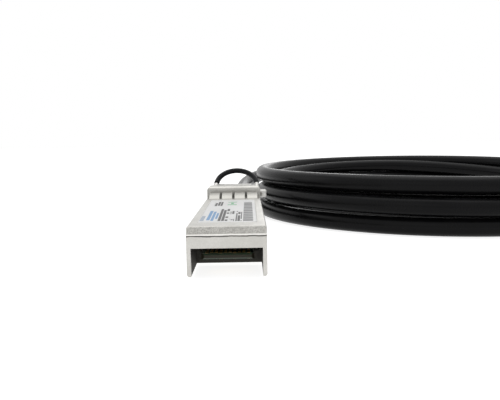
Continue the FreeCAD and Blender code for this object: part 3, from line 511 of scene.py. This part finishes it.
def cast_metal(name, coarse_shade_share):
    """Nickel-plated die casting: satin grain, rubbed edges, and painted shade, shadow and
    highlight.
    """
    material, tree, shader = new_material(name)
    fine, cloud = use_group(tree, "surface_grain", {"Size": 0.2})
    edge, soft = use_group(tree, "worn_edges", {"Width": 0.14})
    across, along, up = plug_place(tree, "near")
    across = from_nearer_middle(tree, across)
    front = ramp(tree, product(tree, facing(tree)["Y"], -1.0), 0.6, 0.95)

    def above_joint(low, high):
        return ramp(tree, up, PARTING_Z + low, PARTING_Z + high)

    tone = blend_colours(tree, cloud, *NICKEL)
    tone = lay_over(tree, tone, fine, 0.35, NICKEL_GRAIN)
    # A coarse grain on the front faces above the joint, with painted shade: it darkens their colour
    # by the given share.
    coarse_shade = product(tree, front, above_joint(0.22, 0.34), ramp(tree, fine, 0.1, 0.8, 0.25, 1.0))
    tone = lay_over(tree, tone, coarse_shade, coarse_shade_share, NICKEL_COARSE_SHADE)
    tone = lay_over(tree, tone, edge, 0.7, NICKEL_RUBBED)

    # Painted shadow: a dark wavy line on the front faces, where the crack between the halves would
    # lie in shade.
    wander = noise(tree, object_place(tree), JOINT_WAVES, 2.0)
    height = compute(tree, "MULTIPLY_ADD", wander, JOINT_WAVE, up)
    joint = compute(tree, "ABSOLUTE", compute(tree, "SUBTRACT", height, PARTING_Z + JOINT_RISE))
    joint = product(tree, ramp(tree, joint, 0.16, 0.05), front)
    tone = lay_over(tree, tone, joint, 0.9, JOINT_SHADOW)
    # Painted highlight: a bright band on the front faces just above the joint, along the lip.
    lip_highlight = product(tree, above_joint(0.04, 0.1), above_joint(0.32, 0.24))
    tone = lay_over(tree, tone, lip_highlight, front, NICKEL_LIP_HIGHLIGHT)

    # Painted shade: the walls inside the mouth are darkened in colour, as they would be in shade.
    inside = product(
        tree,
        ramp(tree, across, MOUTH_HALF + 0.03, MOUTH_HALF),
        ramp(tree, up, MOUTH_TOP + 0.02, MOUTH_TOP),
        ramp(tree, up, 0.02, 0.06),
        ramp(tree, along, 0.0, 1.4),
    )
    tone = lay_over(tree, tone, inside, 0.93, MOUTH_SHADE)
    rough = ramp(tree, fine, 0, 1, 0.32, 0.44)
    rough = compute(tree, "ADD", rough, product(tree, coarse_shade, 0.1))
    rough = compute(tree, "MULTIPLY_ADD", inside, 0.3, rough)
    shader.inputs["Metallic"].default_value = 1.0
    connect(tree, shader, tone, rough, relief(tree, fine, 0.012, soft))
    return material


SHEET_RUBBED = (0.88, 0.87, 0.85)


def sheet_metal(name, dark, light, rough, stretch, depth=0.004):
    """Rolled or drawn metal with fine lines along it."""
    material, tree, shader = new_material(name)
    fine, cloud = use_group(tree, "surface_grain", {"Size": 0.3})
    lines = use_group(tree, "drawn_lines", {"Stretch": stretch, "Size": 0.06})[0]
    edge, soft = use_group(tree, "worn_edges", {"Width": 0.08})
    share = compute(tree, "MULTIPLY_ADD", lines, 0.6, product(tree, cloud, 0.4))
    tone = blend_colours(tree, share, dark, light)
    tone = lay_over(tree, tone, edge, 0.5, SHEET_RUBBED)
    height = compute(tree, "MULTIPLY_ADD", fine, 0.4, lines)
    roughness = ramp(tree, lines, 0, 1, rough, rough + 0.1)
    shader.inputs["Metallic"].default_value = 1.0
    connect(tree, shader, tone, roughness, relief(tree, height, depth, soft))
    return material


# The label's film and inks, and its printed fields: left, right, front and rear in the plug's
# millimetres. Fields of bars also have the pitch of their rows and of their words.
FILM = ((0.83, 0.83, 0.825), (0.89, 0.89, 0.89))
BLUE_INK = (0.10, 0.30, 0.58)
PALE_INK = (0.36, 0.43, 0.52)
DARK_INK = (0.012, 0.012, 0.014)
GREY_INK = (0.05, 0.052, 0.06)
GREEN_INK = (0.03, 0.42, 0.14)
SOLID_FIELDS = (
    ((-3.9, -3.3, 7.0, 19.8), BLUE_INK),
    ((-3.1, -2.6, 6.2, 18.6), BLUE_INK),
    ((-2.4, -2.0, 8.6, 16.4), BLUE_INK),
    ((-5.0, -4.3, 6.2, 12.4), PALE_INK),
    ((-0.9, 1.1, 29.6, 30.6), GREEN_INK),
    ((-0.9, 1.1, 34.6, 35.5), GREEN_INK),
    ((-0.2, 0.4, 31.6, 33.6), GREEN_INK),
)
BAR_FIELDS = (
    ((-1.9, 0.0, 5.8, 22.7), 0.62, 1.9),
    ((0.1, 1.05, 14.8, 19.3), 0.48, 1.3),
    ((0.2, 1.1, 5.6, 8.1), 0.45, 1.1),
    ((1.35, 2.45, 5.5, 19.1), 0.55, 1.6),
    ((-3.8, -2.0, 28.1, 35.9), 0.62, 2.6),
)
STRIPED_FIELD = (2.7, 4.5, 5.4, 34.8)
STRIPE_PITCH = 2.6


def label_film(end):
    """White satin film with plain printed fields and rows of bars."""
    material, tree, shader = new_material(f"{end}_printed_label_film")
    across, along, _ = plug_place(tree, end)
    fine, cloud = use_group(tree, "surface_grain", {"Size": 0.25})
    soft = use_group(tree, "worn_edges", {"Width": 0.06})[1]
    place = {"Across": across, "Along": along}
    tone = blend_colours(tree, cloud, *FILM)

    def in_field(sides):
        limits = dict(zip(("Left", "Right", "Front", "Rear"), sides))
        return use_group(tree, "print_field", place | limits)[0]

    printed = None
    for sides, ink in SOLID_FIELDS:
        mask = product(tree, in_field(sides), ramp(tree, fine, 0.0, 0.3, 0.8, 1.0))
        tone = blend_colours(tree, mask, tone, ink)
        printed = mask if printed is None else compute(tree, "MAXIMUM", printed, mask)
    for sides, row, word in BAR_FIELDS:
        bars = use_group(tree, "ruled_bars", place | {"Row": row, "Word": word})[0]
        mask = product(tree, in_field(sides), bars)
        tone = blend_colours(tree, mask, tone, DARK_INK)
        printed = compute(tree, "MAXIMUM", printed, mask)
    wave = compute(tree, "PINGPONG", compute(tree, "DIVIDE", along, STRIPE_PITCH), 0.5)
    stripe = compute(tree, "MULTIPLY_ADD", ramp(tree, wave, 0.2, 0.25), 0.6, 0.4)
    mask = product(tree, in_field(STRIPED_FIELD), stripe)
    tone = blend_colours(tree, mask, tone, GREY_INK)
    printed = compute(tree, "MAXIMUM", printed, mask)

    rough = ramp(tree, fine, 0, 1, 0.42, 0.5)
    rough = compute(tree, "SUBTRACT", rough, product(tree, printed, 0.1))
    height = compute(tree, "MULTIPLY_ADD", printed, 0.5, fine)
    shader.inputs["Specular IOR Level"].default_value = 0.25
    connect(tree, shader, tone, rough, relief(tree, height, 0.003, soft))
    return material


SOLDER_MASK = ((0.012, 0.040, 0.014), (0.022, 0.070, 0.022))
LAMINATE = ((0.012, 0.011, 0.004), (0.030, 0.026, 0.011))


def circuit_board():
    """Green solder mask over a woven board, with bare laminate on the cut edges."""
    material, tree, shader = new_material("solder_mask_board")
    fine = use_group(tree, "surface_grain", {"Size": 0.12})[0]
    weave_x = use_group(tree, "drawn_lines", {"Stretch": (1.0, 0.08, 1.0), "Size": 0.25})[0]
    weave_y = use_group(tree, "drawn_lines", {"Stretch": (0.08, 1.0, 1.0), "Size": 0.25})[0]
    soft = use_group(tree, "worn_edges", {"Width": 0.05})[1]
    weave = product(tree, weave_x, weave_y)
    mask = blend_colours(tree, weave, *SOLDER_MASK)
    laminate = blend_colours(tree, weave_x, *LAMINATE)
    side = ramp(tree, compute(tree, "ABSOLUTE", facing(tree)["Z"]), 0.7, 0.4)
    tone = blend_colours(tree, side, mask, laminate)
    rough = compute(tree, "MULTIPLY_ADD", side, 0.35, ramp(tree, fine, 0, 1, 0.25, 0.35))
    height = compute(tree, "ADD", weave, fine)
    connect(tree, shader, tone, rough, relief(tree, height, 0.006, soft))
    return material


DUST = (0.42, 0.42, 0.43)
RUBBED_LIGHTER = 2.2


def moulded(name, dark, light, rough, grain, depth, dust=0.0, shine=0.5, lines=None):
    """A moulded or extruded skin: two close tones, a grain, and dust where it lies."""
    material, tree, shader = new_material(name)
    fine, cloud = use_group(tree, "surface_grain", {"Size": grain})
    edge, soft = use_group(tree, "worn_edges", {"Width": 0.08})
    share = compute(tree, "MULTIPLY_ADD", fine, 0.4, product(tree, cloud, 0.6))
    rubbed = tuple(min(1.0, level * RUBBED_LIGHTER) for level in light)
    tone = lay_over(tree, blend_colours(tree, share, dark, light), edge, 0.35, rubbed)
    height = fine
    if lines:
        drawn = use_group(tree, "drawn_lines", {"Stretch": lines, "Size": grain})[0]
        height = compute(tree, "ADD", fine, drawn)
    roughness = ramp(tree, share, 0, 1, rough, rough + 0.12)
    if dust:
        film = use_group(tree, "settled_dust", {"Amount": dust})[0]
        tone = blend_colours(tree, film, tone, DUST)
        roughness = compute(tree, "MULTIPLY_ADD", film, 0.4, roughness)
    shader.inputs["Specular IOR Level"].default_value = shine
    connect(tree, shader, tone, roughness, relief(tree, height, depth, soft))
    return material


def jacket_material():
    tones = ((0.0035, 0.0035, 0.004), (0.006, 0.006, 0.0065))
    return moulded("cable_jacket_black", *tones, 0.2, 0.35, 0.004, dust=0.008, shine=0.1)


# Each metal's name, dark and light tone, roughness, the stretch of its lines and their depth.
SHEETS = {
    "steel": (
        "satin_steel", (0.42, 0.415, 0.40), (0.54, 0.53, 0.51), 0.26, (1.0, 0.04, 1.0), 0.004,
    ),
    "spring_steel": (
        "spring_sheet", (0.36, 0.355, 0.33), (0.46, 0.45, 0.42), 0.3, (0.05, 1.0, 1.0), 0.004,
    ),
    "gold": (
        "gold_plating", (0.50, 0.34, 0.11), (0.62, 0.44, 0.17), 0.3, (1.0, 0.1, 1.0), 0.002,
    ),
}

# Each skin's name, dark and light tone, roughness, the size of its grain and its depth.
SKINS = {
    "chip_black": (
        "chip_compound", (0.016, 0.016, 0.017), (0.03, 0.03, 0.031), 0.5, 0.12, 0.006,
    ),
    "capacitor_tan": (
        "ceramic_tan", (0.30, 0.20, 0.11), (0.44, 0.31, 0.18), 0.45, 0.15, 0.004,
    ),
    "wire_insulation": (
        "wire_insulation", (0.50, 0.53, 0.57), (0.64, 0.67, 0.70), 0.28, 0.4, 0.006,
    ),
    "black_rubber": (
        "boot_rubber", (0.006, 0.006, 0.006), (0.011, 0.011, 0.011), 0.45, 0.22, 0.014,
    ),
    "black_sleeve": (
        "shrink_sleeve", (0.005, 0.006, 0.007), (0.009, 0.010, 0.012), 0.3, 0.35, 0.012,
    ),
}
SKIN_EXTRAS = {
    "wire_insulation": {"lines": (1.0, 0.1, 1.0)},
    "black_rubber": {"dust": 0.02, "shine": 0.12},
    "black_sleeve": {"dust": 0.02, "shine": 0.12},
}


def build_finishes():
    finishes = {slot: sheet_metal(*sheet) for slot, sheet in SHEETS.items()}
    for slot, skin in SKINS.items():
        finishes[slot] = moulded(*skin, **SKIN_EXTRAS.get(slot, {}))
    finishes["cast_metal"] = cast_metal("nickel_plated_casting", 0.0)
    # The cover's front faces take the painted shade with its coarse grain.
    finishes["cover_metal"] = cast_metal("nickel_plated_cover", 0.62)
    finishes["circuit_board"] = circuit_board()
    finishes["cable_jacket"] = bpy.data.materials["cable_jacket_black"]
    return finishes


def dress_nodes():
    slots = {part["node"]: part["material_slot"] for part in frame["record"]["subparts"]}
    finishes = build_finishes()
    labels = {end: label_film(end) for end in ENDS}
    for node, piece in frame["nodes"].items():
        slot = "cover_metal" if node.endswith("top_cover") else slots[node]
        finish = labels[node.split("_")[0]] if slot == "label_film" else finishes[slot]
        for material_slot in piece.material_slots:
            material_slot.material = finish


# ---- pull ring -------------------------------------------------------------------------------

# The ring lies in its own X and Y, with the pins along X through the origin, and leans back.
RING_PIVOT = (0.0, 54.6, 8.6)
RING_LEAN = 40.0
BOW_SHIFT = 0.55
BOW_RADIUS = 5.4
BOW_START = 3.5
BOW_POINTS = 12
WIRE_BOW = (7.5, 172.5)
WIRE_RADIUS = 0.45
SLEEVE_BOW = (6.0, 174.0)
SLEEVE_RADIUS = 0.7
BARREL_RADIUS = 0.72
LEGS = {side: (BOW_SHIFT + side * BOW_RADIUS, BOW_START, 0.0) for side in (-1, 1)}
FEET = {-1: (-5.7, 0.95, 0.0), 1: (5.9, 0.95, 0.0)}
PIN_RADIUS = 0.5
BORE_RADIUS = PIN_RADIUS + 0.05
EYE = (5.25, 6.55)
EYE_RADIUS = 1.5
EYE_CHAMFER = 0.15
MERGE_GAP = 0.0005
SHARP_FROM = 38

# The pins' outlines, along X and out from it. The right one has a head, the left one is flush.
RIGHT_PIN = (
    (3.9, 0.0), (3.9, PIN_RADIUS), (6.68, PIN_RADIUS), (6.68, 1.0), (6.82, 1.1),
    (8.15, 1.1), (8.5, 0.86), (8.6, 0.5), (8.6, 0.0),
)
LEFT_PIN = ((-3.9, 0.0), (-3.9, PIN_RADIUS), (-6.55, PIN_RADIUS), (-6.62, 0.4), (-6.62, 0.0))


def ring_matrix(end):
    lean = Matrix.Rotation(math.radians(RING_LEAN), 4, "X")
    return Matrix.Translation(plug_point(end, *RING_PIVOT)) @ lean @ Matrix.Scale(MM, 4)


def bow_points(first, last):
    """Points for a smooth line along the ring's bow, between two angles round it."""
    step = math.radians(last - first) / (BOW_POINTS - 1)
    reach = BOW_RADIUS / math.cos(step / 2)
    angles = [math.radians(first) + step * number for number in range(BOW_POINTS)]
    return [
        (BOW_SHIFT + reach * math.cos(angle), BOW_START + reach * math.sin(angle), 0.0)
        for angle in angles
    ]


def add_rod(shape, points, radius, sides=16):
    """Adds a round rod along a smooth line to a bmesh, with closed ends."""
    curve = bpy.data.curves.new("rod", "CURVE")
    curve.bevel_depth = radius
    curve.bevel_resolution = sides // 4 - 1
    curve.resolution_u = 6
    curve.use_fill_caps = True
    smooth_line(curve, points)
    rod = bpy.data.objects.new("rod", curve)
    mesh = bpy.data.meshes.new_from_object(rod)
    shape.from_mesh(mesh)
    bpy.data.objects.remove(rod)
    bpy.data.curves.remove(curve)
    bpy.data.meshes.remove(mesh)


def add_turned(shape, outline):
    """Adds a turned part: an outline of (along X, radius) points spun once about the X axis."""
    corners = [shape.verts.new((along, radius, 0.0)) for along, radius in outline]
    edges = [shape.edges.new(pair) for pair in zip(corners, corners[1:] + corners[:1])]
    bmesh.ops.spin(
        shape, geom=corners + edges, cent=(0, 0, 0), axis=(1, 0, 0), angle=math.tau, steps=32,
        use_merge=True,
    )


def finish_piece(name, shape, end, body, slot, material, *nodes):
    bmesh.ops.remove_doubles(shape, verts=shape.verts, dist=MERGE_GAP)
    bmesh.ops.recalc_face_normals(shape, faces=shape.faces)
    bmesh.ops.transform(shape, matrix=ring_matrix(end), verts=shape.verts)
    mesh = bpy.data.meshes.new(name)
    shape.to_mesh(mesh)
    shape.free()
    for face in mesh.polygons:
        face.use_smooth = True
    mesh.set_sharp_from_angle(angle=math.radians(SHARP_FROM))
    piece = bpy.data.objects.new(name, mesh)
    link(piece)
    mesh.materials.append(bpy.data.materials[material])
    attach(piece, body)
    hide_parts(*nodes)
    return piece


def add_ring(end):
    """A wire ring with two eyes and barrels, a soft sleeve on its bow, and its two pins."""
    ring = bmesh.new()
    for side in (-1, 1):
        low, high = (side * place for place in EYE)
        chamfer = side * EYE_CHAMFER
        add_turned(ring, (
            (low, BORE_RADIUS), (low, EYE_RADIUS - EYE_CHAMFER), (low + chamfer, EYE_RADIUS),
            (high - chamfer, EYE_RADIUS), (high, EYE_RADIUS - EYE_CHAMFER), (high, BORE_RADIUS),
        ))
    bow = [FEET[1], LEGS[1]] + bow_points(*WIRE_BOW) + [LEGS[-1], FEET[-1]]
    add_rod(ring, bow, WIRE_RADIUS)
    for side in (1, -1):
        middle = tuple((a + b) / 2 for a, b in zip(FEET[side], LEGS[side]))
        add_rod(ring, [FEET[side], middle, LEGS[side]], BARREL_RADIUS)
    sleeve = bmesh.new()
    add_rod(sleeve, bow_points(*SLEEVE_BOW), SLEEVE_RADIUS, sides=24)
    pins = bmesh.new()
    add_turned(pins, RIGHT_PIN)
    add_turned(pins, LEFT_PIN)
    swing = f"{end}_pull_ring"
    slide = f"{end}_pull_slide"
    return [
        finish_piece(
            f"{end}_wire_ring", ring, end, swing, "steel", "satin_steel", f"{end}_pull_ring"
        ),
        finish_piece(
            f"{end}_bow_sleeve", sleeve, end, swing, "black_sleeve", "shrink_sleeve",
            f"{end}_ring_sleeve",
        ),
        finish_piece(
            f"{end}_ring_rivets", pins, end, slide, "steel", "satin_steel", f"{end}_ring_pins"
        ),
    ]


# ---- floor and lights ------------------------------------------------------------------------

WORLD_LEVEL = 0.55
WHITE = (1.0, 1.0, 1.0, 1.0)
FLOOR_HALF = 3.0
FLOOR_TONE = (0.5, 0.5, 0.5, 1.0)
FLOOR_GLOW = 0.86

LAMP_AIM = (0.03, 0.03, 0.0)

# Each lamp's place in metres, its width and height in metres, and its power in watts.
LAMPS = {
    "overhead_softbox": ((0.05, 0.15, 0.75), 0.7, 0.7, 1.5),
    "front_softbox": ((-0.25, -0.75, 0.45), 0.5, 0.35, 0.15),
    "rear_softbox": ((0.13, 0.95, 0.22), 0.22, 0.2, 0.22),
    "side_softbox": ((-0.8, 0.1, 0.45), 0.4, 0.6, 0.5),
}


def seen_directly(tree):
    """One for rays from the camera, a mirror-like surface or glass, and zero for other light."""
    path = add_node(tree, "LightPath").outputs
    seen = compute(tree, "MAXIMUM", path["Is Camera Ray"], path["Is Glossy Ray"])
    return compute(tree, "MAXIMUM", seen, path["Is Transmission Ray"])


def add_floor():
    mesh = bpy.data.meshes.new("floor")
    shape = bmesh.new()
    bmesh.ops.create_grid(shape, x_segments=1, y_segments=1, size=FLOOR_HALF)
    shape.to_mesh(mesh)
    shape.free()
    floor = bpy.data.objects.new("floor", mesh)
    link(floor)
    material = bpy.data.materials.new("studio_floor")
    material.use_nodes = True
    tree = material.node_tree
    tree.nodes.clear()
    diffuse = add_node(tree, "BsdfDiffuse", {"Color": FLOOR_TONE})
    glow = add_node(tree, "Emission", {"Strength": product(tree, seen_directly(tree), FLOOR_GLOW)})
    total = add_node(tree, "AddShader", {0: diffuse.outputs[0], 1: glow.outputs[0]})
    add_node(tree, "OutputMaterial", {"Surface": total.outputs[0]})
    floor.data.materials.append(material)


def add_world():
    world = bpy.data.worlds.new("studio")
    world.use_nodes = True
    tree = world.node_tree
    tree.nodes.clear()
    strength = ramp(tree, seen_directly(tree), 0.0, 1.0, WORLD_LEVEL, 1.0)
    background = add_node(tree, "Background", {"Color": WHITE, "Strength": strength})
    add_node(tree, "OutputWorld", {"Surface": background.outputs[0]})
    bpy.context.scene.world = world


def add_lights():
    for name, (place, width, height, power) in LAMPS.items():
        data = bpy.data.lights.new(name, "AREA")
        data.shape = "RECTANGLE"
        data.size = width
        data.size_y = height
        data.energy = power
        lamp = bpy.data.objects.new(name, data)
        lamp.visible_camera = False
        link(lamp)
        lamp.location = place
        way = Vector(LAMP_AIM) - Vector(place)
        lamp.rotation_euler = way.to_track_quat("-Z", "Y").to_euler()


build_groups()
add_camera()
cable = new_cable_curve()
dress_nodes()
rings = {end: add_ring(end) for end in ENDS}
declare_cable(cable)
add_floor()
add_world()
add_lights()
bpy.context.scene.view_settings.view_transform = "Standard"
